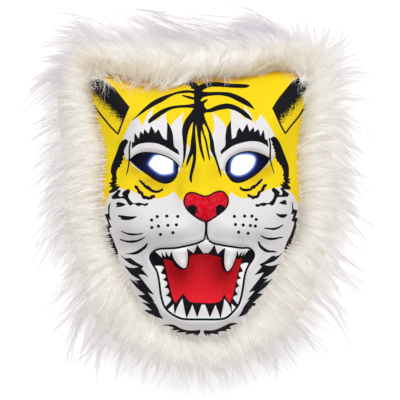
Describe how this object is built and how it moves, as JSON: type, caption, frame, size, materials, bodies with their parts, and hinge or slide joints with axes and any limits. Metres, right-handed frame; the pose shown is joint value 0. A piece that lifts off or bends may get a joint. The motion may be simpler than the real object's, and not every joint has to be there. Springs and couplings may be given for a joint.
{
  "type": "light-up tiger mask",
  "caption": "Moulded tiger face mask with an open snarling mouth, lit eye windows and a ring of long white fur, worn over the face or hung flat on a wall.",
  "frame": {"origin": "on the ground under the middle of the mask as it lies on its back rim, face up", "axes": "+Z out of the face, +Y towards the top of the head, +X towards the wearer's left"},
  "size_m": [0.3566, 0.3846, 0.083],
  "materials": {
    "felt": "printed felt on moulded foam",
    "fur": "long straight pile",
    "eye_screen": "matt",
    "eye_light": "lit translucent white"
  },
  "bodies": {
    "root": {"face_shell": "felt", "fur_trim": "fur", "eye_screen_left": "eye_screen", "eye_light_left": "eye_light", "eye_screen_right": "eye_screen", "eye_light_right": "eye_light"}
  },
  "joints": []
}
